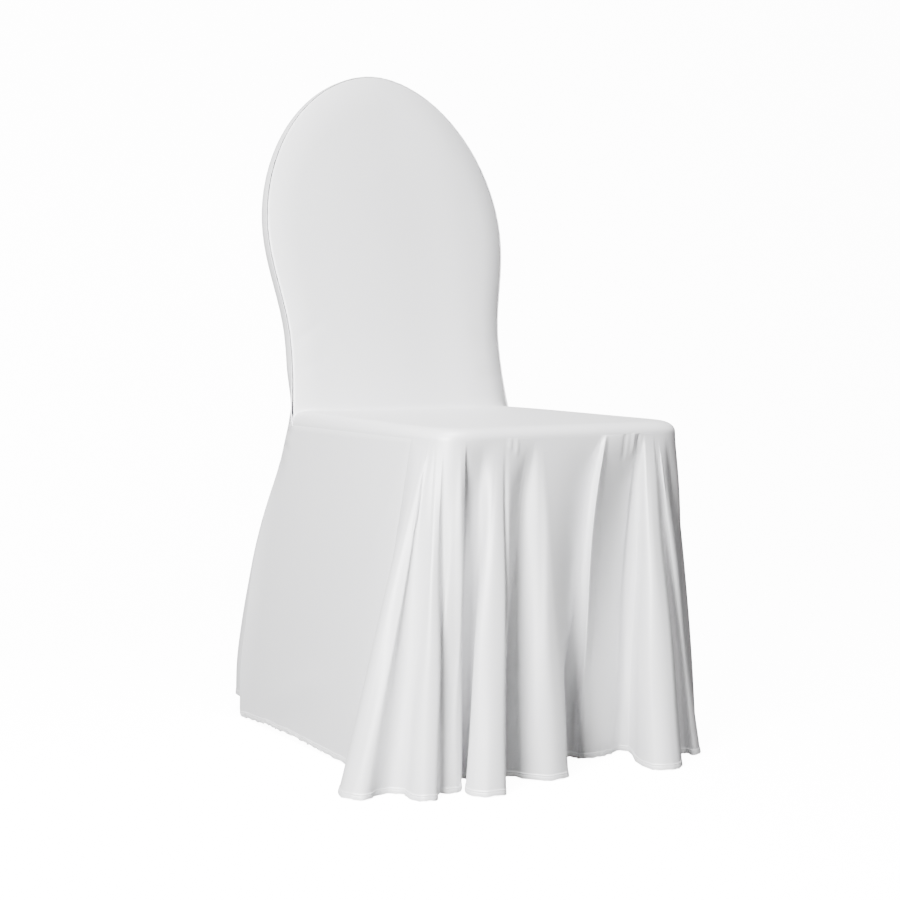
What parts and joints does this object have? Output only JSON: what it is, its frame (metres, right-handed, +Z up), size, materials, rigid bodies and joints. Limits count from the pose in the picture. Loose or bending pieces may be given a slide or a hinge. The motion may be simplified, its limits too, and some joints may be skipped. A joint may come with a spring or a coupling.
{
  "type": "stretch chair cover",
  "caption": "Fitted white stretch chair cover with a round-topped backrest pocket, flat sides, a flared back and a gathered front drape.",
  "frame": {"origin": "on the level of the lowest hem, under the middle of the cover's box", "axes": "+Z up, -Y towards the front drape, +X to the left of someone sitting in it"},
  "size_m": [0.5988, 0.6646, 0.9639],
  "materials": {
    "white_knit": "matte stretch knit with a soft sheen"
  },
  "bodies": {
    "root": {"back_front": "white_knit", "back_band": "white_knit", "back_rear": "white_knit", "seat": "white_knit", "side_left": "white_knit", "side_right": "white_knit", "front_drape": "white_knit"}
  },
  "joints": []
}
